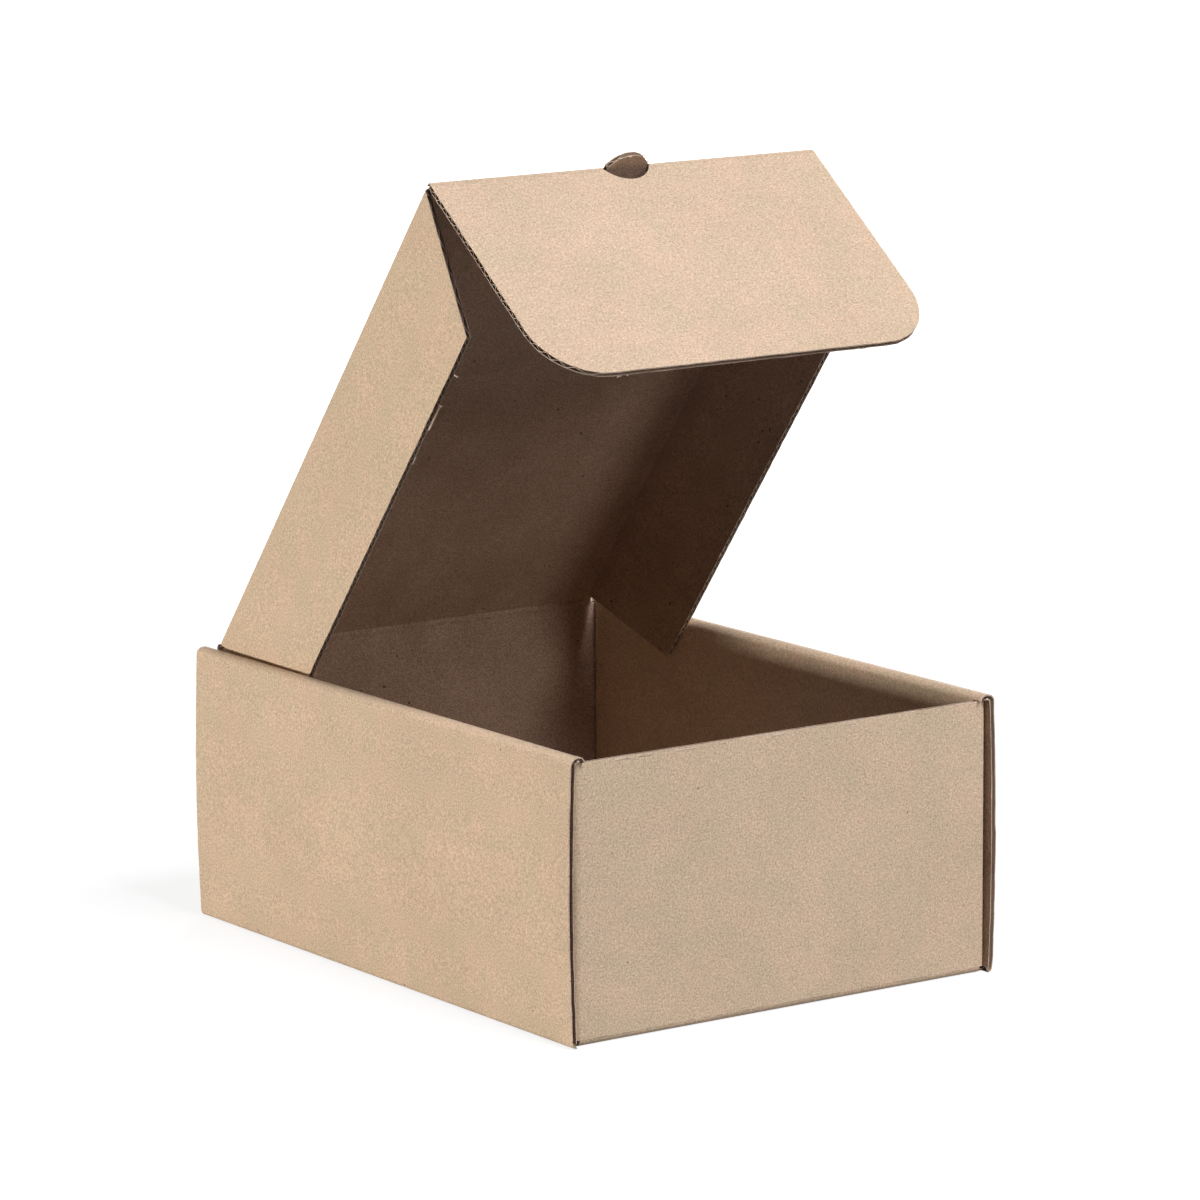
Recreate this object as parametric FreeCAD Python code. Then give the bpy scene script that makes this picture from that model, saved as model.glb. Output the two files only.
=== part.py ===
import FreeCAD, Part
import math
import os
from FreeCAD import Vector

# Open roll-end tuck-front mailer of fine-flute corrugated board.
# Frame: origin at the centre of the footprint on the surface it stands on, +X to the right
# along the front wall, +Y to the back, +Z up. Millimetres and degrees.

# Board
board = 1.6                 # caliper of the board
crease_gap = 0.06           # play left at a fold between two flaps
layer_gap = 0.08            # air between layers folded flat on each other

# Tray
box_width = 144.0           # over the two outer side panels, at the floor and at the rims
box_depth = 190.0           # over the raw ends of the side panels
box_height = 80.0           # floor to the rolled rims
wall_height = 77.9          # floor to the top of the front and back walls
wall_recess = 1.4           # front and back walls stand in from the raw ends of the side panels
side_bow = 0.9              # outer side panels belly out half way up
rim_inside_radius = 0.6     # inside radius of the two creases of a rolled rim
corner_inside_radius = 0.2  # inside radius where a wall turns into its dust flap
floor_clearance = 0.25      # dust flaps and inner panels stand this far off the floor panel
inner_panel_clearance = 0.6
rim_end_clearance = 0.2
dust_flap_reach = 64.0
dust_flap_chamfer = 9.0
lock_tab_width = 24.0
lock_tab_spacing = 92.0
lock_tab_play = 0.25
lock_tab_recess = 0.15      # a tab's end stays this far above the underside

# Lid
lid_side_clearance = 1.24   # lid's long edges to the inner panels when shut
lid_front_clearance = 0.5   # lid's front fold to the inside of the front wall when shut
lid_open_angle = 52.3       # from shut, as the box stands
hinge_relief_angle = 46.0   # crushed inside of the back crease, each side of the fold
tuck_relief_angle = 57.0    # crushed inside of the front crease, each side of the fold

# Wings
wing_depth = 40.6
wing_angle = 88.6           # fold of a wing away from the lid's plane
wing_root_back = 2.3        # lid's back crease to where a wing starts on its fold
wing_back_cut = 14.0        # the back end is cut back by this much at the free edge
wing_root_front = 2.8       # lid's front crease to where a wing ends on its fold
wing_front_cut = 16.8       # the front end is cut back by this much at the free edge
wing_fold_play = 0.5        # degrees of play behind a wing's root

# Tuck flap
tuck_side_step = 0.6        # the tuck flap is narrower than the lid by this at each side
tuck_floor_clearance = 1.6  # free edge to the floor panel when shut
tuck_angle = 90.0           # fold of the tuck flap away from the lid's plane
tuck_corner_radius = 19.0

# Thumb tab, cut out of the tuck flap and left in the lid's plane
thumb_radius = 7.75
thumb_height = 4.75
thumb_root_width = 11.4
thumb_kerf = 0.7

half_width = box_width / 2
half_depth = box_depth / 2
rim_radius = board + rim_inside_radius
corner_radius = board + corner_inside_radius
rim_width = 3 * board + 2 * layer_gap
inner_face = half_width - rim_width
flap_face = half_width - board - layer_gap
wall_face = half_depth - wall_recess
inner_panel_half = wall_face - board - inner_panel_clearance

hinge_y = wall_face
hinge_z = wall_height + board * math.tan(math.radians(hinge_relief_angle)) + crease_gap
lid_length = hinge_y + wall_face - board - lid_front_clearance
lid_front_y = hinge_y - lid_length
lid_half = inner_face - lid_side_clearance
wing_pivot_x = lid_half - board
wing_pivot_z = hinge_z - board
tuck_half = lid_half - tuck_side_step
tuck_depth = hinge_z - board - tuck_floor_clearance

LEFT = -1
RIGHT = 1


def block(x0, x1, y0, y1, z0, z1):
    return Part.makeBox(x1 - x0, y1 - y0, z1 - z0, Vector(x0, y0, z0))


def segment(start, end):
    return Part.LineSegment(start, end).toShape()


def arc(start, middle, end):
    return Part.Arc(start, middle, end).toShape()


def extrude_edges(edges, direction):
    return Part.Face(Part.Wire(edges)).extrude(direction)


def extrude_polygon(points, direction):
    return Part.Face(Part.makePolygon(points + [points[0]])).extrude(direction)


def mirrored_x(shape):
    return shape.mirror(Vector(0, 0, 0), Vector(1, 0, 0))


def mirrored_y(shape):
    return shape.mirror(Vector(0, 0, 0), Vector(0, 1, 0))


def joined(shapes):
    return shapes[0].multiFuse(shapes[1:]).removeSplitter()


def bent_point(centre_a, centre_b, radius, angle):
    """A point at the given angle on the circle of a crease."""
    turn = math.radians(angle)
    return (centre_a + radius * math.cos(turn), centre_b + radius * math.sin(turn))


def side_section(y):
    """Outer panel, rolled rim and inner panel of the right wall, as one bent strip."""

    def at(pair):
        return Vector(pair[0], y, pair[1])

    top = box_height
    outer_centre = (half_width - rim_radius, top - rim_radius)
    inner_centre = (inner_face + rim_radius, top - rim_radius)
    middle = (board + top - rim_radius) / 2
    panel_foot = board + floor_clearance
    outside = [
        arc(at((half_width - board, 0)), at(bent_point(half_width - board, board, board, -45)),
            at((half_width, board))),
        arc(at((half_width, board)), at((half_width + side_bow, middle)), at((half_width, outer_centre[1]))),
        arc(at((half_width, outer_centre[1])), at(bent_point(*outer_centre, rim_radius, 45)),
            at((outer_centre[0], top))),
        segment(at((outer_centre[0], top)), at((inner_centre[0], top))),
        arc(at((inner_centre[0], top)), at(bent_point(*inner_centre, rim_radius, 135)),
            at((inner_face, inner_centre[1]))),
        segment(at((inner_face, inner_centre[1])), at((inner_face, panel_foot))),
    ]
    inside = [
        segment(at((inner_face, panel_foot)), at((inner_face + board, panel_foot))),
        segment(at((inner_face + board, panel_foot)), at((inner_face + board, inner_centre[1]))),
        arc(at((inner_face + board, inner_centre[1])), at(bent_point(*inner_centre, rim_inside_radius, 135)),
            at((inner_centre[0], top - board))),
        segment(at((inner_centre[0], top - board)), at((outer_centre[0], top - board))),
        arc(at((outer_centre[0], top - board)), at(bent_point(*outer_centre, rim_inside_radius, 45)),
            at((half_width - board, outer_centre[1]))),
        arc(at((half_width - board, outer_centre[1])), at((half_width - board + side_bow, middle)),
            at((half_width - board, board))),
        segment(at((half_width - board, board)), at((half_width - board, 0))),
    ]
    return outside + inside


def lock_tab_places():
    return [-lock_tab_spacing / 2, lock_tab_spacing / 2]


def side_wall():
    wall = extrude_edges(side_section(-half_depth), Vector(0, box_depth, 0))
    end_length = half_depth - inner_panel_half
    for y0 in (-half_depth, inner_panel_half):
        wall = wall.cut(block(inner_face - 1, flap_face, y0, y0 + end_length, 0, wall_height + rim_end_clearance))
    tabs = []
    for y in lock_tab_places():
        tabs.append(block(inner_face, inner_face + board, y - lock_tab_width / 2, y + lock_tab_width / 2,
                          lock_tab_recess, board + 2 * floor_clearance))
    return wall.multiFuse(tabs)


def floor_panel():
    edge = half_width - board
    panel = block(-edge, edge, -wall_face + board, wall_face - board, 0, board)
    reach = lock_tab_width / 2 + lock_tab_play
    for y in lock_tab_places():
        slot = block(inner_face - lock_tab_play, inner_face + board + lock_tab_play, y - reach, y + reach,
                     -board, 2 * board)
        panel = panel.cut(slot).cut(mirrored_x(slot))
    return panel


def corner_bend(foot):
    """Quarter ring where the front wall turns into its right dust flap."""
    centre = (flap_face - corner_radius, -wall_face + corner_radius)
    ring = []
    for radius in (corner_radius, corner_inside_radius):
        ends = [Vector(*bent_point(*centre, radius, angle), foot) for angle in (-90, -45, 0)]
        ring.append(ends)
    outer, inner = ring
    edges = [arc(*outer), segment(outer[2], inner[2]), arc(inner[2], inner[1], inner[0]), segment(inner[0], outer[0])]
    return extrude_edges(edges, Vector(0, 0, wall_height - foot))


def dust_flap(foot):
    start = -wall_face + corner_radius
    end = -wall_face + dust_flap_reach
    cut = dust_flap_chamfer
    x = flap_face - board
    outline = [(start, foot), (end - cut, foot), (end, foot + cut), (end, wall_height - cut),
               (end - cut, wall_height), (start, wall_height)]
    return extrude_polygon([Vector(x, y, z) for y, z in outline], Vector(board, 0, 0))


def front_wall():
    """Front wall with its floor crease, corner bends and the two dust flaps it carries."""
    flat = flap_face - corner_radius
    foot = board + floor_clearance
    wall = block(-flat, flat, -wall_face, -wall_face + board, board, wall_height)
    fold = extrude_edges([
        arc(Vector(-flat, -wall_face, board),
            Vector(-flat, *bent_point(-wall_face + board, board, board, 225)),
            Vector(-flat, -wall_face + board, 0)),
        segment(Vector(-flat, -wall_face + board, 0), Vector(-flat, -wall_face + board, board)),
        segment(Vector(-flat, -wall_face + board, board), Vector(-flat, -wall_face, board)),
    ], Vector(2 * flat, 0, 0))
    bend = corner_bend(foot)
    flap = dust_flap(foot)
    return [wall, fold, bend, flap, mirrored_x(bend), mirrored_x(flap)]


def hinge_lip():
    """Top of the back wall, crushed on the inside so that the lid can fold in and back."""
    outline = [(wall_face, wall_height), (wall_face, hinge_z - crease_gap), (wall_face - board, wall_height)]
    return extrude_polygon([Vector(-lid_half, y, z) for y, z in outline], Vector(2 * lid_half, 0, 0))


def tray():
    right = side_wall()
    walls = front_wall()
    shapes = [floor_panel(), right, mirrored_x(right)] + walls
    shapes += [mirrored_y(piece) for piece in walls]
    shapes.append(hinge_lip())
    return joined(shapes)


def opened(shape):
    """Turns a shape drawn on the shut lid to where the lid stands."""
    turned = shape.copy()
    turned.rotate(Vector(0, hinge_y, hinge_z), Vector(-1, 0, 0), lid_open_angle)
    return turned


def edge_nose():
    """Rounded long edge of the lid, which the wing's crease wraps."""
    centre = Vector(wing_pivot_x, hinge_y, wing_pivot_z)
    end_angle = 90 - wing_angle + wing_fold_play

    def rim_point(angle):
        a, b = bent_point(wing_pivot_x, wing_pivot_z, board, angle)
        return Vector(a, hinge_y, b)

    edges = [segment(centre, rim_point(end_angle)),
             arc(rim_point(end_angle), rim_point((90 + end_angle) / 2), rim_point(90)),
             segment(rim_point(90), centre)]
    return extrude_edges(edges, Vector(0, -lid_length, 0))


def relief(y, side, angle, half_length):
    """Wedge crushed away inside a crease, on the side of the given sign along Y."""
    start = y + side * crease_gap
    depth = board + 1
    reach = depth * math.tan(math.radians(angle))
    outline = [(start, hinge_z), (start + side * reach, hinge_z - depth), (y - side * board, hinge_z - depth),
               (y - side * board, hinge_z + 1), (start, hinge_z + 1)]
    return extrude_polygon([Vector(-half_length, a, b) for a, b in outline], Vector(2 * half_length, 0, 0))


def thumb_disc(extra, height):
    centre = Vector(0, lid_front_y + thumb_radius - thumb_height, hinge_z - height)
    return Part.makeCylinder(thumb_radius + extra, height, centre, Vector(0, 0, 1))


def thumb_tab():
    """Half-round tab in the lid's plane, with the strip that joins it to the panel."""
    depth = board
    ahead = block(-thumb_radius, thumb_radius, lid_front_y - thumb_height, lid_front_y, hinge_z - depth, hinge_z)
    tab = thumb_disc(0, depth).common(ahead)
    root_depth = 3 * board
    root = block(-thumb_root_width / 2, thumb_root_width / 2, lid_front_y - crease_gap, lid_front_y + root_depth,
                 hinge_z - depth, hinge_z)
    return tab.fuse(root)


def lid():
    panel = block(-wing_pivot_x, wing_pivot_x, lid_front_y, hinge_y, wing_pivot_z, hinge_z)
    nose = edge_nose()
    sheet = panel.multiFuse([nose, mirrored_x(nose)])
    sheet = sheet.cut(relief(hinge_y, -1, hinge_relief_angle, half_width))
    sheet = sheet.cut(relief(lid_front_y, 1, tuck_relief_angle, half_width))
    return opened(joined([sheet, thumb_tab()]))


def wing(side):
    """Side wing of the lid, hinged on the inner line of its crease."""
    foot = wing_pivot_z - (wing_depth - board)
    back = hinge_y - wing_root_back
    front = lid_front_y + wing_root_front
    outline = [(back, wing_pivot_z), (back - wing_back_cut, foot), (front + wing_front_cut, foot),
               (front, wing_pivot_z)]
    sheet = extrude_polygon([Vector(wing_pivot_x, y, z) for y, z in outline], Vector(board, 0, 0))
    sheet.rotate(Vector(wing_pivot_x, 0, wing_pivot_z), Vector(0, -1, 0), 90 - wing_angle)
    if side == LEFT:
        sheet = mirrored_x(sheet)
    return opened(sheet)


def tuck_outline(z):
    half = tuck_half
    top = lid_front_y
    end = lid_front_y - tuck_depth
    radius = tuck_corner_radius
    slope = radius * (1 - math.sqrt(0.5))
    return [
        segment(Vector(-half, top, z), Vector(half, top, z)),
        segment(Vector(half, top, z), Vector(half, end + radius, z)),
        arc(Vector(half, end + radius, z), Vector(half - slope, end + slope, z), Vector(half - radius, end, z)),
        segment(Vector(half - radius, end, z), Vector(-half + radius, end, z)),
        arc(Vector(-half + radius, end, z), Vector(-half + slope, end + slope, z), Vector(-half, end + radius, z)),
        segment(Vector(-half, end + radius, z), Vector(-half, top, z)),
    ]


def tuck_flap():
    sheet = extrude_edges(tuck_outline(wing_pivot_z), Vector(0, 0, board))
    sheet = sheet.cut(relief(lid_front_y, -1, tuck_relief_angle, half_width))
    sheet = sheet.cut(thumb_disc(thumb_kerf, 2 * board))
    sheet.rotate(Vector(0, lid_front_y, hinge_z), Vector(1, 0, 0), tuck_angle)
    return opened(sheet)


def write_nodes():
    nodes = {
        "tray": tray(),
        "lid": lid(),
        "left_wing": wing(LEFT),
        "right_wing": wing(RIGHT),
        "tuck_flap": tuck_flap(),
    }
    os.makedirs("parts", exist_ok=True)
    for name, shape in nodes.items():
        shape.exportStep("parts/" + name + ".step")
        box = shape.BoundBox
        print(name, "solids", len(shape.Solids), "valid", shape.isValid(), "volume", round(shape.Volume, 1),
              "x", round(box.XMin, 2), round(box.XMax, 2), "y", round(box.YMin, 2), round(box.YMax, 2),
              "z", round(box.ZMin, 2), round(box.ZMax, 2))
    print("lid length", round(lid_length, 3), "hinge at", round(hinge_y, 3), round(hinge_z, 3))


write_nodes()
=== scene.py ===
import bpy
from math import radians, cos, sin
from mathutils import Vector, Matrix, Quaternion, noise


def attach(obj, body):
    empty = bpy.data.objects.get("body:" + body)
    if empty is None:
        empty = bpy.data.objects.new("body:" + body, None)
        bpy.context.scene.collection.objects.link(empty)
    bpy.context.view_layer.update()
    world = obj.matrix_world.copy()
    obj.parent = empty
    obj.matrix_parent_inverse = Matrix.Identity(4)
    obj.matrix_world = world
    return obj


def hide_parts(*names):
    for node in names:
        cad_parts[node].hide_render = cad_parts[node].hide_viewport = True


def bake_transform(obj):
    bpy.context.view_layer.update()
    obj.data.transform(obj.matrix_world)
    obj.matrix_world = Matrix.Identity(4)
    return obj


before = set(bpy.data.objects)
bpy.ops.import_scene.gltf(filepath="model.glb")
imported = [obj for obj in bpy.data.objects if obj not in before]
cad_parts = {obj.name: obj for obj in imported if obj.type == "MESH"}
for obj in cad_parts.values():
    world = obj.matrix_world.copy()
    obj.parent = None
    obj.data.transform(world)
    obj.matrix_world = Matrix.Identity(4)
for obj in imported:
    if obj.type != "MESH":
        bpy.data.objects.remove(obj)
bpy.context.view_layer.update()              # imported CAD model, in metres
scene = bpy.context.scene
mm = 0.001

sheet = {                      # fine-flute board, one die-cut sheet, in millimetres
    "caliper": 1.6,
    "liner": 0.2,
    "medium": 0.17,
    "pitch": 3.28,
    "lifts": [1.0, 0.5, -0.5, -1.0, -0.5, 0.5],
}
fold = {                       # how the sheet stands
    "hinge": Vector((0, 93.6, 79.617)),
    "opened": 52.3,
    "lidLength": 185.1,
    "lidHalf": 64.2,
    "wingAngle": 88.6,
}
along = Vector((0, -cos(radians(fold["opened"])), sin(radians(fold["opened"]))))
inward = Vector((0, -sin(radians(fold["opened"])), -cos(radians(fold["opened"]))))
lidFront = fold["hinge"] + along * fold["lidLength"]
right = Vector((1, 0, 0))
back = Vector((0, 1, 0))
up = Vector((0, 0, 1))


# materials: the effects that several papers share are groups

def groupNodes(name, inputs, outputs):
    tree = bpy.data.node_groups.new(name, "ShaderNodeTree")
    for label, kind, value in inputs:
        socket = tree.interface.new_socket(name=label, in_out="INPUT", socket_type=kind)
        if value is not None:
            socket.default_value = value
    for label, kind in outputs:
        tree.interface.new_socket(name=label, in_out="OUTPUT", socket_type=kind)
    return tree, tree.nodes.new("NodeGroupInput"), tree.nodes.new("NodeGroupOutput")


def noiseNode(tree, scale, detail, rough, offset=0.0):
    node = tree.nodes.new("ShaderNodeTexNoise")
    node.noise_dimensions = "4D"
    node.inputs["W"].default_value = offset
    node.inputs["Scale"].default_value = scale
    node.inputs["Detail"].default_value = detail
    node.inputs["Roughness"].default_value = rough
    return node


def rangeNode(tree, low, high, toLow=0.0, toHigh=1.0):
    node = tree.nodes.new("ShaderNodeMapRange")
    node.inputs["From Min"].default_value = low
    node.inputs["From Max"].default_value = high
    node.inputs["To Min"].default_value = toLow
    node.inputs["To Max"].default_value = toHigh
    return node


def mixNode(tree, kind="MIX"):
    node = tree.nodes.new("ShaderNodeMix")
    node.data_type = "RGBA"
    node.blend_type = kind
    return node


def paperFibreGroup():
    tree, entry, result = groupNodes(
        "paperFibre",
        [("Vector", "NodeSocketVector", None),
         ("Tone", "NodeSocketColor", (0.6, 0.44, 0.28, 1)),
         ("Patch Tone", "NodeSocketColor", (0.58, 0.45, 0.27, 1)),
         ("Grain", "NodeSocketFloat", 0.1),
         ("Patches", "NodeSocketFloat", 0.6)],
        [("Color", "NodeSocketColor"), ("Height", "NodeSocketFloat"), ("Roughness", "NodeSocketFloat")])
    link = tree.links.new
    patch = noiseNode(tree, 95, 3, 0.55, 1.3)
    patchMask = rangeNode(tree, 0.36, 0.64)
    cloud = noiseNode(tree, 28, 2, 0.5, 4.1)
    cloudRange = rangeNode(tree, 0.3, 0.7, 0.96, 1.04)
    fine = noiseNode(tree, 1900, 3, 0.8, 7.7)
    fineRange = rangeNode(tree, 0.3, 0.7, -1.0, 1.0)
    for node in (patch, cloud, fine):
        link(entry.outputs["Vector"], node.inputs["Vector"])
    link(patch.outputs["Fac"], patchMask.inputs["Value"])
    link(cloud.outputs["Fac"], cloudRange.inputs["Value"])
    link(fine.outputs["Fac"], fineRange.inputs["Value"])
    amount = tree.nodes.new("ShaderNodeMath")
    amount.operation = "MULTIPLY"
    link(patchMask.outputs["Result"], amount.inputs[0])
    link(entry.outputs["Patches"], amount.inputs[1])
    tone = mixNode(tree)
    link(amount.outputs[0], tone.inputs["Factor"])
    link(entry.outputs["Tone"], tone.inputs[6])
    link(entry.outputs["Patch Tone"], tone.inputs[7])
    grain = tree.nodes.new("ShaderNodeMath")
    grain.operation = "MULTIPLY_ADD"
    grain.inputs[2].default_value = 1.0
    link(fineRange.outputs["Result"], grain.inputs[0])
    link(entry.outputs["Grain"], grain.inputs[1])
    shade = tree.nodes.new("ShaderNodeMath")
    shade.operation = "MULTIPLY"
    link(grain.outputs[0], shade.inputs[0])
    link(cloudRange.outputs["Result"], shade.inputs[1])
    final = tree.nodes.new("ShaderNodeVectorMath")
    final.operation = "SCALE"
    link(tone.outputs[2], final.inputs[0])
    link(shade.outputs[0], final.inputs["Scale"])
    rough = rangeNode(tree, 0.2, 0.8, 0.72, 0.92)
    link(fine.outputs["Fac"], rough.inputs["Value"])
    link(final.outputs[0], result.inputs["Color"])
    link(fine.outputs["Fac"], result.inputs["Height"])
    link(rough.outputs["Result"], result.inputs["Roughness"])
    return tree


def paperSpecksGroup():
    tree, entry, result = groupNodes(
        "paperSpecks",
        [("Vector", "NodeSocketVector", None),
         ("Density", "NodeSocketFloat", 260.0),
         ("Size", "NodeSocketFloat", 0.09),
         ("Share", "NodeSocketFloat", 0.1)],
        [("Mask", "NodeSocketFloat")])
    link = tree.links.new
    cells = tree.nodes.new("ShaderNodeTexVoronoi")
    bend = noiseNode(tree, 900, 2, 0.5, 2.2)
    stir = tree.nodes.new("ShaderNodeVectorMath")
    stir.operation = "MULTIPLY_ADD"
    stir.inputs[1].default_value = (0.0012, 0.0012, 0.0012)
    link(entry.outputs["Vector"], bend.inputs["Vector"])
    link(bend.outputs["Color"], stir.inputs[0])
    link(entry.outputs["Vector"], stir.inputs[2])
    link(stir.outputs[0], cells.inputs["Vector"])
    link(entry.outputs["Density"], cells.inputs["Scale"])
    near = tree.nodes.new("ShaderNodeMath")
    near.operation = "LESS_THAN"
    link(cells.outputs["Distance"], near.inputs[0])
    link(entry.outputs["Size"], near.inputs[1])
    parts = tree.nodes.new("ShaderNodeSeparateColor")
    link(cells.outputs["Color"], parts.inputs["Color"])
    some = tree.nodes.new("ShaderNodeMath")
    some.operation = "LESS_THAN"
    link(parts.outputs[0], some.inputs[0])
    link(entry.outputs["Share"], some.inputs[1])
    both = tree.nodes.new("ShaderNodeMath")
    both.operation = "MULTIPLY"
    link(near.outputs[0], both.inputs[0])
    link(some.outputs[0], both.inputs[1])
    link(both.outputs[0], result.inputs["Mask"])
    return tree


paperFibre = paperFibreGroup()
paperSpecks = paperSpecksGroup()


def paperMaterial(name, look):
    material = bpy.data.materials.new(name)
    material.use_nodes = True
    tree = material.node_tree
    link = tree.links.new
    shader = tree.nodes["Principled BSDF"]
    shader.inputs["Specular IOR Level"].default_value = look["gloss"]
    shader.inputs["Roughness"].default_value = 0.85
    place = tree.nodes.new("ShaderNodeTexCoord")
    fibre = tree.nodes.new("ShaderNodeGroup")
    fibre.node_tree = paperFibre
    fibre.inputs["Tone"].default_value = look["tone"] + (1,)
    fibre.inputs["Patch Tone"].default_value = look["patchTone"] + (1,)
    fibre.inputs["Grain"].default_value = look["grain"]
    fibre.inputs["Patches"].default_value = look["patches"]
    link(place.outputs["Object"], fibre.inputs["Vector"])
    color = fibre.outputs["Color"]
    for density, size, share, speckTone in look["specks"]:
        speck = tree.nodes.new("ShaderNodeGroup")
        speck.node_tree = paperSpecks
        speck.inputs["Density"].default_value = density
        speck.inputs["Size"].default_value = size
        speck.inputs["Share"].default_value = share
        link(place.outputs["Object"], speck.inputs["Vector"])
        over = mixNode(tree)
        over.inputs[7].default_value = speckTone + (1,)
        link(speck.outputs["Mask"], over.inputs["Factor"])
        link(color, over.inputs[6])
        color = over.outputs[2]
    bump = tree.nodes.new("ShaderNodeBump")
    bump.inputs["Strength"].default_value = look["bump"]
    bump.inputs["Distance"].default_value = 0.00012
    link(fibre.outputs["Height"], bump.inputs["Height"])
    link(color, shader.inputs["Base Color"])
    link(fibre.outputs["Roughness"], shader.inputs["Roughness"])
    link(bump.outputs["Normal"], shader.inputs["Normal"])
    return material


paperLooks = {
    "kraftOuter": {"tone": (0.640, 0.462, 0.322), "patchTone": (0.575, 0.446, 0.300), "grain": 0.44, "patches": 0.8,
                   "gloss": 0.28, "bump": 0.22,
                   "specks": [(210, 0.07, 0.06, (0.22, 0.13, 0.07)), (420, 0.10, 0.05, (0.42, 0.29, 0.17))]},
    "kraftInner": {"tone": (0.400, 0.272, 0.194), "patchTone": (0.352, 0.236, 0.165), "grain": 0.62, "patches": 0.9,
                   "gloss": 0.2, "bump": 0.3,
                   "specks": [(230, 0.10, 0.12, (0.12, 0.075, 0.05)), (330, 0.08, 0.05, (0.62, 0.50, 0.38))]},
    "fluteMedium": {"tone": (0.30, 0.215, 0.15), "patchTone": (0.24, 0.165, 0.115), "grain": 0.2, "patches": 0.8,
                    "gloss": 0.15, "bump": 0.3, "specks": []},
    "tornEdge": {"tone": (0.70, 0.57, 0.45), "patchTone": (0.46, 0.33, 0.24), "grain": 0.3, "patches": 1.0,
                 "gloss": 0.15, "bump": 0.5, "specks": [(900, 0.25, 0.35, (0.30, 0.20, 0.13))]},
}
papers = {name: paperMaterial(name, look) for name, look in paperLooks.items()}
print("papers ready")


# small tools for the modelling

def clearSelection():
    if bpy.context.object and bpy.context.object.mode != "OBJECT":
        bpy.ops.object.mode_set(mode="OBJECT")
    bpy.ops.object.select_all(action="DESELECT")


def makeActive(piece):
    clearSelection()
    piece.select_set(True)
    bpy.context.view_layer.objects.active = piece


def applied(piece, kind, **settings):
    modifier = piece.modifiers.new(kind, kind)
    for key, value in settings.items():
        setattr(modifier, key, value)
    makeActive(piece)
    bpy.ops.object.modifier_apply(modifier=modifier.name)


def pickFaces(piece, wanted):
    mesh = piece.data
    for part in (mesh.vertices, mesh.edges):
        for item in part:
            item.select = False
    for face in mesh.polygons:
        face.select = wanted(face.center)
        if face.select:
            for i in face.vertices:
                mesh.vertices[i].select = True


def edgeRow(name, centre, heading, normal, width, rows):
    clearSelection()                       # a row of edges at right angles to the way the sheet runs
    across = normal.cross(heading)
    turn = Matrix((heading, across, normal)).transposed().to_euler()
    middle = (centre + heading * 0.5) * mm     # the grid is 1 mm long, and its near edge is the row
    bpy.ops.mesh.primitive_grid_add(x_subdivisions=1, y_subdivisions=rows, size=1, location=middle, rotation=turn)
    piece = bpy.context.active_object
    piece.name = name
    piece.scale = (0.001, width * mm, 1)
    bpy.ops.object.transform_apply(location=True, rotation=True, scale=True)
    for part in (piece.data.polygons, piece.data.edges):
        for item in part:
            item.select = False
    for vertex in piece.data.vertices:
        vertex.select = (vertex.co - middle).dot(heading) > 0
    bpy.ops.object.mode_set(mode="EDIT")
    bpy.ops.mesh.select_mode(type="VERT")
    bpy.ops.mesh.delete(type="VERT")
    bpy.ops.object.mode_set(mode="OBJECT")
    return piece


def raiseFlutes(piece, across, normal, height):
    mesh = piece.data
    order = sorted(range(len(mesh.vertices)), key=lambda i: mesh.vertices[i].co.dot(across))
    steps = len(sheet["lifts"])
    for step, lift in enumerate(sheet["lifts"]):
        chosen = set(order[step::steps])
        for edge in mesh.edges:
            edge.select = False
        for i, vertex in enumerate(mesh.vertices):
            vertex.select = i in chosen
        bpy.ops.object.mode_set(mode="EDIT")
        bpy.ops.transform.translate(value=normal * lift * height * mm)
        bpy.ops.object.mode_set(mode="OBJECT")


def runSheet(centre, heading, normal, moves):
    bpy.ops.object.mode_set(mode="EDIT")
    bpy.ops.mesh.select_mode(type="VERT")
    bpy.ops.mesh.select_all(action="SELECT")
    spot, heading, normal = centre.copy(), heading.copy(), normal.copy()
    for move in moves:
        if move[0] == "go":
            step = heading * move[1] / move[2]
            for _ in range(move[2]):
                bpy.ops.mesh.extrude_region_move(TRANSFORM_OT_translate={"value": step * mm})
            spot += heading * move[1]
        else:                              # a turn away from the outer face
            angle, radius = radians(move[1]), move[2]
            hub = spot - normal * radius
            bpy.ops.mesh.spin(steps=move[3], angle=angle, center=hub * mm, axis=heading.cross(normal))
            heading, normal = (heading * cos(angle) - normal * sin(angle),
                               normal * cos(angle) + heading * sin(angle))
            spot = hub + normal * radius
    bpy.ops.mesh.select_all(action="SELECT")
    bpy.ops.mesh.remove_doubles(threshold=0.000001)
    bpy.ops.mesh.normals_make_consistent(inside=False)
    bpy.ops.object.mode_set(mode="OBJECT")


def trimmed(piece, cuts):
    makeActive(piece)
    for place, facing in cuts:             # what lies beyond each plane is cut away
        bpy.ops.object.mode_set(mode="EDIT")
        bpy.ops.mesh.select_all(action="SELECT")
        bpy.ops.mesh.bisect(plane_co=Vector(place) * mm, plane_no=Vector(facing), clear_outer=True)
        bpy.ops.object.mode_set(mode="OBJECT")


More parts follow.
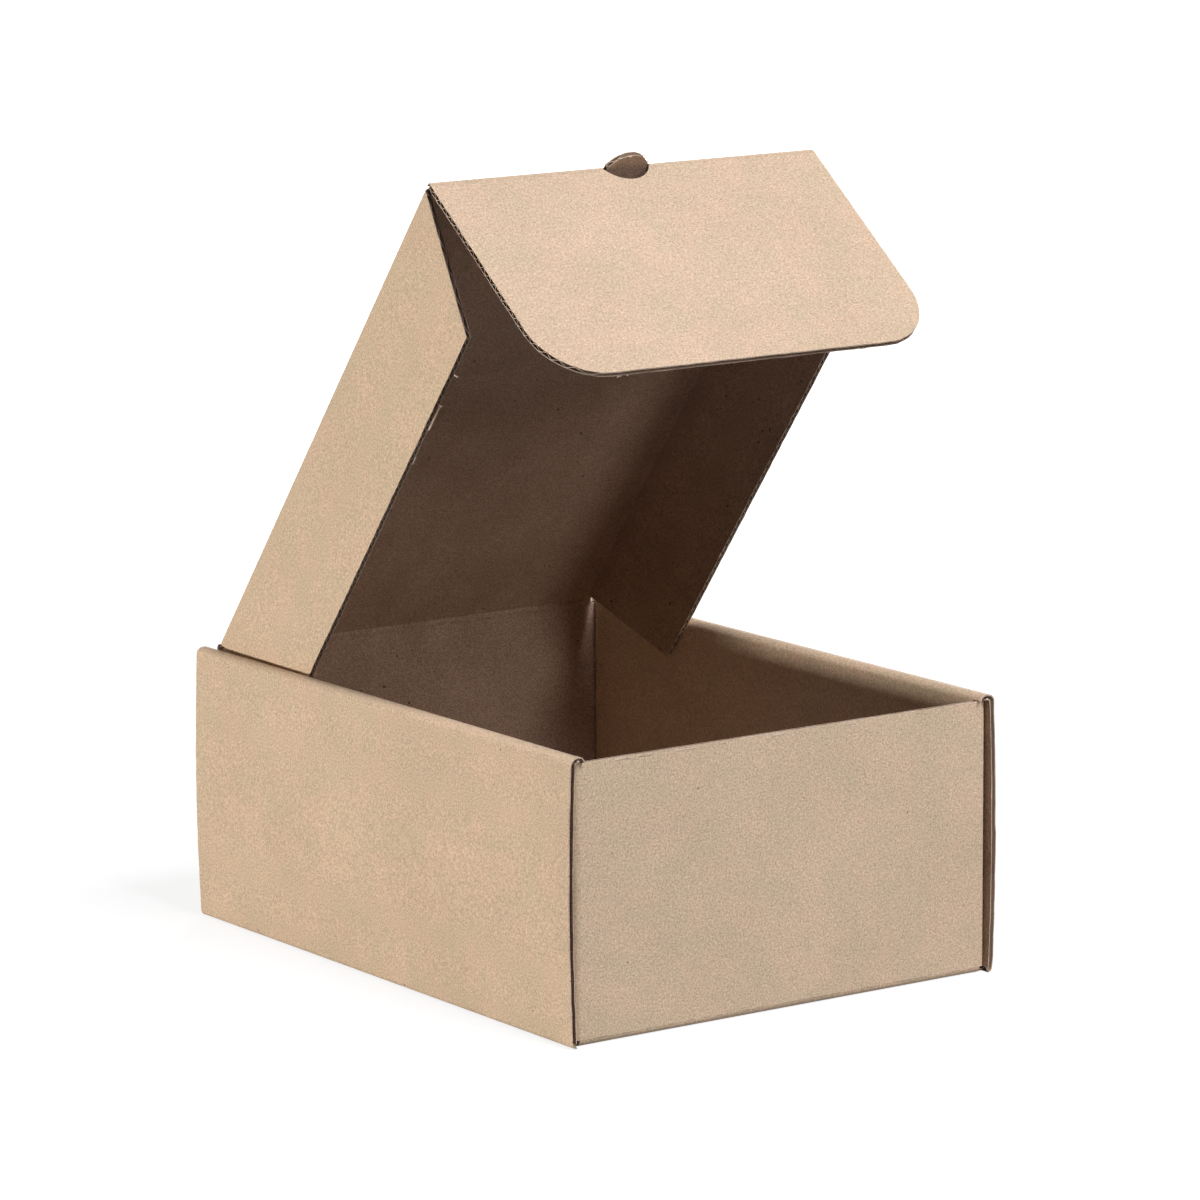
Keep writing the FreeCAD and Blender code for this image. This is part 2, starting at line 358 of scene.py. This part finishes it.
def punched(piece, planes, margin=12):
    makeActive(piece)                      # a hole with straight sides: scored all round, then taken out

    def insideBy(spot, room):
        return all((spot - place * mm).dot(facing) < room * mm for place, facing in planes)

    bpy.context.tool_settings.mesh_select_mode = (False, False, True)
    for place, facing in planes:
        pickFaces(piece, lambda spot: insideBy(spot, margin))
        bpy.ops.object.mode_set(mode="EDIT")
        bpy.ops.mesh.bisect(plane_co=place * mm, plane_no=facing)
        bpy.ops.object.mode_set(mode="OBJECT")
    pickFaces(piece, lambda spot: insideBy(spot, -0.0005))
    bpy.ops.object.mode_set(mode="EDIT")
    bpy.ops.mesh.delete(type="FACE")
    bpy.ops.object.mode_set(mode="OBJECT")


def boxPlanes(low, high):
    low, high = Vector(low), Vector(high)
    planes = []
    for axis in (right, back, up):
        planes.append((high, axis))
        planes.append((low, -axis))
    return planes


def frayed(piece, amount, steady, top, flatWay):
    mesh = piece.data                      # cut edges wander a little, as a worn cutting die leaves them
    uses = {}
    for face in mesh.polygons:
        for key in face.edge_keys:
            uses[key] = uses.get(key, 0) + 1
    rim = {i for key, count in uses.items() if count == 1 for i in key}
    for i in rim:
        vertex = mesh.vertices[i]
        if steady and steady(vertex.co / mm):
            continue
        coarse = noise.noise_vector(vertex.co * 350)
        fine = noise.noise_vector(vertex.co * 1100)
        wander = (coarse * 0.6 + fine * 0.5) * amount * mm
        if flatWay:
            wander -= flatWay * wander.dot(flatWay)
        vertex.co += wander
        vertex.co.z = min(vertex.co.z, top * mm)


def thickened(piece, thickness, faceMaterial, edgeMaterial):
    piece.data.materials.clear()
    piece.data.materials.append(papers[faceMaterial])
    piece.data.materials.append(papers[edgeMaterial])
    applied(piece, "SOLIDIFY", thickness=thickness * mm, offset=0.0, material_offset_rim=1)
    bpy.ops.object.mode_set(mode="EDIT")
    bpy.ops.mesh.select_all(action="SELECT")
    bpy.ops.mesh.normals_make_consistent(inside=False)
    bpy.ops.object.mode_set(mode="OBJECT")
    bpy.ops.object.shade_smooth_by_angle(angle=radians(32))


def joined(name, pieces):
    clearSelection()
    for piece in pieces:
        piece.select_set(True)
    bpy.context.view_layer.objects.active = pieces[0]
    bpy.ops.object.join()
    pieces[0].name = name
    pieces[0].data.name = name
    return pieces[0]


def board(name, centre, heading, normal, width, moves, trims=((0, 0), (0, 0), (0, 0)), cuts=(), holes=(),
          linerRows=12, fray=0.2, steady=None, top=300):
    layers = [
        ("Outer", sheet["liner"] / 2, sheet["liner"], "kraftOuter", False),
        ("Flute", sheet["caliper"] / 2, sheet["medium"], "fluteMedium", True),
        ("Inner", sheet["caliper"] - sheet["liner"] / 2, sheet["liner"], "kraftInner", False),
    ]
    height = (sheet["caliper"] - 2 * sheet["liner"] - sheet["medium"]) / 2
    flatWay = normal if all(move[0] == "go" for move in moves) else None
    pieces = []
    across = normal.cross(heading)
    for (label, depth, thickness, paper, fluted), (low, high) in zip(layers, trims):
        span = width - low - high          # a layer may stop short of the row's ends
        spot = centre - normal * depth + across * (low - high) / 2
        rows = round(span / sheet["pitch"] * len(sheet["lifts"])) if fluted else linerRows
        piece = edgeRow(name + label, spot, heading, normal, span, rows)
        if fluted:
            raiseFlutes(piece, across, normal, height)
        shorter = [move if move[0] == "go" else ("turn", move[1], move[2] - depth, move[3]) for move in moves]
        runSheet(spot, heading, normal, shorter)
        if cuts:
            trimmed(piece, cuts)
        for planes in holes:
            punched(piece, planes)
        if fray:
            frayed(piece, fray, steady, top, flatWay)
        thickened(piece, thickness, paper, "tornEdge")
        pieces.append(piece)
    return joined(name, pieces)


# tray: floor, two rolled side walls, front and back walls with their dust flaps

tray = {
    "halfDepth": 95.0,
    "wallHeight": 77.9,
    "wallFace": 93.6,
    "rimRadius": 2.2,
    "rimWidth": 4.96,
    "innerHalf": 91.4,             # half length of the rolled inner panels
    "innerFace": 67.04,            # their visible face
    "flapFace": 70.32,             # outer face of the dust flaps
    "tabWidth": 24.0,
    "tabSpacing": 92.0,
    "tabPlay": 0.25,
    "flapReach": 64.0,
    "cornerRounds": {-1: (1.8, 2.8), 1: (2.8, 2.8)},       # front wall right, left; back wall left, right
}


def makeSideWall(side):
    name = "sideWallRight" if side > 0 else "sideWallLeft"
    bulge = 2.706                          # degrees of lean at the foot and top of the bowed panel
    moves = [
        ("turn", 90 - bulge, 1.6, 6),
        ("turn", 2 * bulge, 806.9, 26),
        ("turn", 90 - bulge, tray["rimRadius"], 8),
        ("go", tray["rimWidth"] - 2 * tray["rimRadius"], 1),
        ("turn", 90, tray["rimRadius"], 8),
        ("go", 75.95, 20),
    ]
    start = Vector((side * 70.4, 0, 0))
    x0, x1 = sorted((side * 66.5, side * tray["flapFace"]))
    ends = []
    for end in (-1, 1):                    # inner panel ends short, clear of the corner bends
        low, high = sorted((end * tray["innerHalf"], end * 96))
        ends.append(boxPlanes((x0, low, 0.3), (x1, high, 78.1)))
    wall = board(name, start, right * side, -up, 2 * tray["halfDepth"], moves, holes=ends, linerRows=40)
    for y in (-tray["tabSpacing"] / 2, tray["tabSpacing"] / 2):
        tab = board(name + "Tab", Vector((side * tray["innerFace"], y, 1.95)), -up, -right * side, tray["tabWidth"],
                    [("go", 1.8, 1)])
        wall = joined(name, [wall, tab])
    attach(wall, "tray")


def makeFloor():
    reach = tray["tabWidth"] / 2 + tray["tabPlay"]
    slots = []
    for side in (-1, 1):
        for y in (-tray["tabSpacing"] / 2, tray["tabSpacing"] / 2):
            x0, x1 = sorted((side * 66.79, side * 68.89))
            slots.append(boxPlanes((x0, y - reach, -1), (x1, y + reach, 3)))
    floorSheet = board("floorPanel", Vector((-70.4, 0, 0)), right, -up, 184.0, [("go", 140.8, 10)], holes=slots,
                       linerRows=24)
    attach(floorSheet, "tray")
    return floorSheet


def makeEndWall(side):
    name = "backWall" if side > 0 else "frontWall"
    foot = 1.7
    firstRound, lastRound = tray["cornerRounds"][side]
    moves = [
        ("go", tray["flapReach"] - firstRound, 4),
        ("turn", 90, firstRound, 8),
        ("go", 2 * tray["flapFace"] - firstRound - lastRound, 60),
        ("turn", 90, lastRound, 8),
        ("go", tray["flapReach"] - lastRound, 4),
    ]
    start = Vector((-side * tray["flapFace"], side * (tray["wallFace"] - tray["flapReach"]),
                    (tray["wallHeight"] + foot) / 2))
    wall = board(name, start, back * side, -right * side, tray["wallHeight"] - foot, moves, linerRows=8,
                 top=tray["wallHeight"] - 0.05)
    bend = board(name + "Foot", Vector((0, side * 92.0, 0)), back * side, -up, 137.04, [("turn", 90, 1.6, 6)],
                 linerRows=12)
    wall = joined(name, [wall, bend])
    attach(wall, "tray")


floorSheet = makeFloor()
for side in (-1, 1):
    makeSideWall(side)
for side in (-1, 1):
    makeEndWall(side)
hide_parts("tray")
print("tray folded")


# lid with its wings and tuck flap

lid = {
    "wingRootBack": 2.3, "wingRootFront": 2.8,
    "wingBackCut": 14.0, "wingFrontCut": 16.8, "wingDepth": 40.6,
    "tuckHalf": 65.2, "tuckDepth": 76.417, "tuckRound": 19.0,
    "thumbRadius": 7.75, "thumbHeight": 4.75, "thumbKerf": 1.0,
}


def makeLid():
    length = fold["lidLength"]
    centre = fold["hinge"] + along * length / 2 - right * fold["lidHalf"]
    panel = board("lidPanel", centre, right, -inward, length, [("go", 2 * fold["lidHalf"], 10)],
                  trims=((0.7, 0.7), (1.5, 1.3), (2.5, 1.8)), linerRows=24, fray=0)
    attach(panel, "lid")
    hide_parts("lid")


def makeWing(side):
    name = "wingRight" if side > 0 else "wingLeft"
    length = fold["lidLength"]
    wingTurn = radians(fold["wingAngle"])
    outside = right * side
    pivot = fold["hinge"] + inward * 1.6 + outside * fold["lidHalf"]
    down = outside * cos(wingTurn) + inward * sin(wingTurn)
    face = outside * sin(wingTurn) - inward * cos(wingTurn)
    depth = lid["wingDepth"] - sheet["caliper"]
    backRoot = pivot + along * lid["wingRootBack"]
    frontRoot = pivot + along * (length - lid["wingRootFront"])
    backEdge = (along * lid["wingBackCut"] + down * depth).normalized()
    frontEdge = (-along * lid["wingFrontCut"] + down * depth).normalized()
    backOut = face.cross(backEdge)
    backOut *= -1 if backOut.dot(along) > 0 else 1
    frontOut = face.cross(frontEdge)
    frontOut *= 1 if frontOut.dot(along) > 0 else -1
    start = pivot + along * length / 2 + face * 1.6 + down * 0.9
    wing = board(name, start, down, face, length, [("go", depth - 0.9, 16)],
                 cuts=[(backRoot, backOut), (frontRoot, frontOut)], linerRows=90,
                 steady=lambda spot: (spot - start).dot(down) < 0.6)
    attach(wing, "right_wing" if side > 0 else "left_wing")
    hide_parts("right_wing" if side > 0 else "left_wing")

    # the crease: the layers run round the lid's long edge into the wing
    creaseLength = length - lid["wingRootBack"] - lid["wingRootFront"]
    middle = pivot + along * (lid["wingRootBack"] + creaseLength / 2)
    crease = board(name + "Crease", middle - inward * 1.6, outside, -inward, creaseLength,
                   [("turn", fold["wingAngle"], 1.6, 8), ("go", 0.9, 1)], linerRows=24, fray=0)
    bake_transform(crease)


def roundCuts(hub, radius, sideways, ahead, steps=12):
    cuts = []                              # planes that touch a quarter circle, for a rounded corner
    for i in range(steps + 1):
        angle = radians(90 * i / steps)
        facing = sideways * cos(angle) + ahead * sin(angle)
        cuts.append((hub + facing * radius, facing))
    return cuts


def makeTuckFlap():
    half, depth, corner = lid["tuckHalf"], lid["tuckDepth"], lid["tuckRound"]
    centre = lidFront + inward * depth / 2 - right * half
    cuts = []
    for side in (-1, 1):
        hub = lidFront + inward * (depth - corner) + right * side * (half - corner)
        cuts += roundCuts(hub, corner, right * side, inward)
    hub = lidFront - inward * (lid["thumbRadius"] - lid["thumbHeight"])
    reach = lid["thumbRadius"] + lid["thumbKerf"]
    notch = []
    for step in range(17):                 # the half round left open by the thumb tab
        angle = radians(180 * step / 16)
        facing = right * cos(angle) + inward * sin(angle)
        notch.append((hub + facing * reach, facing))
    flap = board("tuckFlap", centre, right, along, depth, [("go", 2 * half, 64)],
                 trims=((0.0, 1.0), (0.0, 2.0), (0.0, 3.2)), cuts=cuts, holes=[notch], linerRows=36,
                 steady=lambda spot: (spot - lidFront).dot(inward) < 6.2)
    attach(flap, "tuck_flap")
    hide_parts("tuck_flap")


def makeThumbTab():
    radius = lid["thumbRadius"]
    hub = lidFront - along * (radius - lid["thumbHeight"])
    cuts = roundCuts(hub, radius, right, along) + roundCuts(hub, radius, -right, along)
    cuts += [(hub + right * side * 6.8, right * side) for side in (-1, 1)]     # root clear of the notch
    centre = lidFront + along * 1.125 - right * radius
    tab = board("thumbTab", centre, right, -inward, 7.25, [("go", 2 * radius, 8)],
                trims=((0, 1.8), (0, 1.2), (0, 0)), cuts=cuts, linerRows=6, fray=0.07)
    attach(tab, "lid")


def ribbon(name, points, x0, x1, paper, rows=24, axis=right, thickness=sheet["liner"]):
    first = points[1] - points[0]          # one liner bent over a crease, through the given points
    heading = first.normalized()
    normal = heading.cross(axis).normalized()
    piece = edgeRow(name, points[0] + axis * (x0 + x1) / 2, heading, normal, x1 - x0, rows)
    bpy.ops.object.mode_set(mode="EDIT")
    bpy.ops.mesh.select_mode(type="VERT")
    bpy.ops.mesh.select_all(action="SELECT")
    for before, after in zip(points, points[1:]):
        bpy.ops.mesh.extrude_region_move(TRANSFORM_OT_translate={"value": (after - before) * mm})
    bpy.ops.mesh.select_all(action="SELECT")
    bpy.ops.mesh.normals_make_consistent(inside=False)
    bpy.ops.object.mode_set(mode="OBJECT")
    thickened(piece, thickness, paper, "tornEdge")
    return piece


def lidPoint(ahead, below):
    return fold["hinge"] + along * ahead + inward * below


def frontPoint(ahead, below):
    return lidFront + along * ahead + inward * below


def makeBackCrease():
    outer = [Vector((0, 93.5, 76.9)), Vector((0, 93.5, 78.6)), Vector((0, 93.46, 79.3)), lidPoint(0.25, 0.16),
             lidPoint(0.9, 0.1)]
    inner = [Vector((0, 92.1, 77.0)), Vector((0, 91.85, 77.7)), Vector((0, 91.75, 78.3)), Vector((0, 91.95, 78.8)),
             Vector((0, 92.1, 79.1)), Vector((0, 91.75, 79.45)), lidPoint(1.9, 1.45), lidPoint(2.9, 1.5)]
    half = fold["lidHalf"] + sheet["caliper"]
    crease = joined("backCrease", [ribbon("backCreaseOuter", outer, -half, half, "kraftOuter"),
                                   ribbon("backCreaseInner", inner, -half, half, "kraftInner")])
    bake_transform(crease)


def makeFrontCrease(side):
    bend = [frontPoint(-0.95 + 0.85 * sin(radians(a)), 0.95 - 0.85 * cos(radians(a))) for a in (0, 22, 45, 68, 90)]
    outer = [frontPoint(-1.6, 0.1)] + bend + [frontPoint(-0.1, 1.6)]
    inner = [frontPoint(-3.0, 1.5), frontPoint(-2.5, 1.5), frontPoint(-1.95, 1.4), frontPoint(-1.12, 0.98),
             frontPoint(-0.98, 1.12), frontPoint(-1.4, 1.95), frontPoint(-1.5, 2.5), frontPoint(-1.5, 3.8)]
    x0, x1 = sorted((side * 8.0, side * 65.0))
    name = "frontCreaseRight" if side > 0 else "frontCreaseLeft"
    crease = joined(name, [ribbon(name + "Outer", outer, x0, x1, "kraftOuter"),
                           ribbon(name + "Inner", inner, max(x0, -62), min(x1, 62), "kraftInner")])
    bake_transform(crease)


torn = [                       # shreds the cutting die left: body, place, way along, length, width, curl
    ("left_wing", ("wing", -1, 151.5, 38.8), "along", 1.7, 0.6, 25),
    ("left_wing", ("wing", -1, 139.5, 38.8), "along", 1.2, 0.7, 40),
    ("left_wing", ("wing", -1, 134.5, 38.8), "along", 0.7, 9.0, 30),
    ("left_wing", ("wing", -1, 118.0, 38.9), "along", 0.5, 3.0, 50),
    ("left_wing", ("wing", -1, 31.0, 38.8), "along", 0.9, 1.8, 60),
    ("left_wing", ("wing", -1, 24.7, 38.8), "along", 0.8, 1.0, 80),
    ("right_wing", ("wing", 1, 163.5, 38.5), "along", 1.0, 1.1, 50),
    ("right_wing", ("wing", 1, 60.0, 38.8), "along", 0.6, 1.4, 70),
    ("right_wing", ("wing", 1, 21.0, 38.2), "along", 0.8, 0.9, 60),
    ("tuck_flap", ("tuck", -44.0, 75.9), "right", 1.1, 1.2, 60),
    ("tuck_flap", ("tuck", -41.5, 76.0), "right", 0.7, 0.5, 20),
    ("tuck_flap", ("tuck", -59.8, 69.6), "right", 0.8, 0.7, 80),
    ("tuck_flap", ("tuck", -57.0, 72.2), "right", 0.7, 0.6, 70),
    ("tuck_flap", ("tuck", 12.0, 76.1), "right", 0.4, 4.0, 40),
    ("tuck_flap", ("tuck", 38.0, 76.1), "right", 0.45, 2.0, 60),
    ("lid", ("thumb", -4.0, 3.9), "right", 0.7, 1.4, 50),
    ("lid", ("thumb", -1.0, 4.5), "right", 0.7, 1.1, 80),
    ("lid", ("thumb", 3.4, 4.1), "right", 0.8, 0.9, 40),
    ("lid", ("thumb", 6.4, 1.6), "right", 0.4, 0.6, 10),
    ("tray", ("front", -54.0), "right", 0.75, 5.5, 55),
    ("tray", ("front", -46.5), "right", 0.5, 3.6, 80),
    ("tray", ("front", -33.0), "right", 0.45, 7.0, 60),
    ("tray", ("front", -21.0), "right", 0.5, 2.6, 75),
    ("tray", ("front", -2.0), "right", 0.85, 3.8, 45),
    ("tray", ("front", 22.0), "right", 0.35, 4.0, 60),
    ("tray", ("front", 47.0), "right", 0.4, 2.2, 70),
    ("tray", ("rimEnd", -69.6, 78.9), "right", 0.9, 0.8, 90),
    ("tray", ("rimEnd", 69.4, 78.6), "right", 0.8, 0.7, 90),
]
ways = {"along": along, "right": right}


def tornPlace(spot):
    kind = spot[0]
    if kind == "wing":
        turn = radians(fold["wingAngle"])
        outside = right * spot[1]
        down = outside * cos(turn) + inward * sin(turn)
        face = outside * sin(turn) - inward * cos(turn)
        pivot = fold["hinge"] + inward * 1.6 + outside * fold["lidHalf"]
        return pivot + along * spot[2] + down * spot[3] + face * 0.1, down, face
    if kind == "tuck":
        return frontPoint(-1.5, spot[2]) + right * spot[1], inward, along
    if kind == "thumb":
        return frontPoint(spot[2], 1.45) + right * spot[1], along, -inward
    if kind == "front":
        return Vector((spot[1], -93.66, 77.1)), up, -back
    return Vector((spot[1], -94.9, spot[2])), -back, up


def makeTorn():
    groups = {}
    for i, (body, spot, run, length, width, curl) in enumerate(torn):
        place, out, face = tornPlace(spot)
        run = ways[run]
        bow = out.cross(run)
        bow *= -1 if bow.dot(face) > 0 else 1
        if spot[0] == "wing":
            bow = -face
        points = [place]
        for step in range(5):              # the shred curls over as it leaves the edge
            angle = radians(curl * step / 2)
            points.append(points[-1] + (out * cos(angle) + bow * sin(angle)) * length / 5)
        shred = ribbon(f"shred{i:02d}", points, -width / 2, width / 2, "tornEdge", rows=max(3, round(width / 0.4)),
                       axis=run, thickness=0.12)
        groups.setdefault(body, []).append(shred)
    for body, shreds in groups.items():
        fibres = joined("torn" + body.title().replace("_", ""), shreds)
        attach(fibres, body)


makeLid()
makeWing(-1)
makeWing(1)
makeTuckFlap()
makeThumbTab()
makeBackCrease()
makeFrontCrease(-1)
makeFrontCrease(1)
makeTorn()
print("lid folded")


# studio: pale floor, soft lamps, camera

studio = {
    "camera": (-0.973914, -1.394739, 0.423085),
    "aim": (0.00521, 0.00083, 0.09934),
    "roll": -0.339,
    "lens": 182.966,
    "world": 0.032,
    "lamps": [
        {"name": "frontLamp", "azimuth": 10, "elevation": 52, "away": 2.2, "size": 0.9, "tall": 0.9, "level": 0.97,
         "tint": (0.99, 1.0, 1.07)},
        {"name": "leftLamp", "azimuth": -101, "elevation": 0, "away": 2.2, "size": 0.5, "tall": 0.17, "level": 0.81,
         "tint": (1.0, 0.97, 0.93)},
        {"name": "rearLamp", "azimuth": 135, "elevation": 12, "away": 2.4, "size": 0.9, "tall": 0.6, "level": 0.62,
         "tint": (1.0, 1.0, 1.0)},
        {"name": "lowLamp", "azimuth": 14, "elevation": 20, "away": 2.4, "size": 0.5, "tall": 0.5, "level": 0.2,
         "tint": (1.0, 1.0, 1.0)},
    ],
}


def stageMaterial(name):
    material = bpy.data.materials.new(name)
    material.use_nodes = True
    tree = material.node_tree
    tree.nodes.clear()
    link = tree.links.new
    rays = tree.nodes.new("ShaderNodeLightPath")
    seen = tree.nodes.new("ShaderNodeMath")
    seen.operation = "MAXIMUM"
    also = tree.nodes.new("ShaderNodeMath")
    also.operation = "MAXIMUM"
    link(rays.outputs["Is Camera Ray"], seen.inputs[0])
    link(rays.outputs["Is Glossy Ray"], seen.inputs[1])
    link(seen.outputs[0], also.inputs[0])
    link(rays.outputs["Is Transmission Ray"], also.inputs[1])
    plain = tree.nodes.new("ShaderNodeBsdfDiffuse")
    plain.inputs["Color"].default_value = (0.28, 0.28, 0.28, 1)
    # the floor's glow is uneven: painted light on the far floor, painted shade near the box
    glow = tree.nodes.new("ShaderNodeEmission")
    place = tree.nodes.new("ShaderNodeTexCoord")
    length = tree.nodes.new("ShaderNodeVectorMath")
    length.operation = "LENGTH"
    paintedFloorGlow = rangeNode(tree, 0.2, 0.9, 0.84, 1.02)   # painted light: the floor glows paler away from the box, and the dimmer glow near the box is painted shade round it
    link(place.outputs["Object"], length.inputs[0])
    link(length.outputs["Value"], paintedFloorGlow.inputs["Value"])
    link(paintedFloorGlow.outputs["Result"], glow.inputs["Strength"])
    both = tree.nodes.new("ShaderNodeAddShader")
    mix = tree.nodes.new("ShaderNodeMixShader")
    output = tree.nodes.new("ShaderNodeOutputMaterial")
    link(plain.outputs[0], both.inputs[0])
    link(glow.outputs[0], both.inputs[1])
    link(also.outputs[0], mix.inputs[0])
    link(plain.outputs[0], mix.inputs[1])
    link(both.outputs[0], mix.inputs[2])
    link(mix.outputs[0], output.inputs["Surface"])
    return material


def makeStudio():
    clearSelection()
    bpy.ops.mesh.primitive_plane_add(size=24, location=(0, 0, -0.0002))
    ground = bpy.context.active_object
    ground.name = "studioFloor"
    ground.data.materials.append(stageMaterial("studioPaper"))

    world = bpy.data.worlds.new("studioAir")
    scene.world = world
    world.use_nodes = True
    tree = world.node_tree
    tree.nodes.clear()
    rays = tree.nodes.new("ShaderNodeLightPath")
    seen = tree.nodes.new("ShaderNodeMath")
    seen.operation = "MAXIMUM"
    dim = tree.nodes.new("ShaderNodeBackground")
    dim.inputs["Strength"].default_value = studio["world"]
    white = tree.nodes.new("ShaderNodeBackground")
    white.inputs["Color"].default_value = (1, 1, 1, 1)
    dim.inputs["Color"].default_value = (1, 1, 1, 1)
    mix = tree.nodes.new("ShaderNodeMixShader")
    output = tree.nodes.new("ShaderNodeOutputWorld")
    tree.links.new(rays.outputs["Is Camera Ray"], seen.inputs[0])
    tree.links.new(rays.outputs["Is Glossy Ray"], seen.inputs[1])
    tree.links.new(seen.outputs[0], mix.inputs[0])
    tree.links.new(dim.outputs[0], mix.inputs[1])
    tree.links.new(white.outputs[0], mix.inputs[2])
    tree.links.new(mix.outputs[0], output.inputs["Surface"])

    aim = Vector((0, 0, 0.1))
    for lamp in studio["lamps"]:
        turn, rise = radians(lamp["azimuth"]), radians(lamp["elevation"])
        offset = Vector((sin(turn) * cos(rise), -cos(turn) * cos(rise), sin(rise))) * lamp["away"]
        light = bpy.data.lights.new(lamp["name"], "AREA")
        light.shape = "RECTANGLE"
        light.size, light.size_y = lamp["size"], lamp["tall"]
        light.color = lamp["tint"]
        light.energy = 9.87 * lamp["away"] ** 2 * lamp["level"]
        holder = bpy.data.objects.new(lamp["name"], light)
        scene.collection.objects.link(holder)
        holder.location = aim + offset
        holder.rotation_euler = (-offset).to_track_quat("-Z", "Y").to_euler()

    camera = bpy.data.cameras.new("studioCamera")
    camera.lens = studio["lens"]
    camera.sensor_width = 36
    camera.clip_end = 60
    viewer = bpy.data.objects.new("studioCamera", camera)
    scene.collection.objects.link(viewer)
    viewer.location = studio["camera"]
    gaze = Vector(studio["aim"]) - Vector(studio["camera"])
    turn = gaze.to_track_quat("-Z", "Y") @ Quaternion((0, 0, 1), radians(studio["roll"]))
    viewer.rotation_euler = turn.to_euler()
    scene.camera = viewer
    scene.view_settings.view_transform = "Standard"


makeStudio()
print("studio lit")
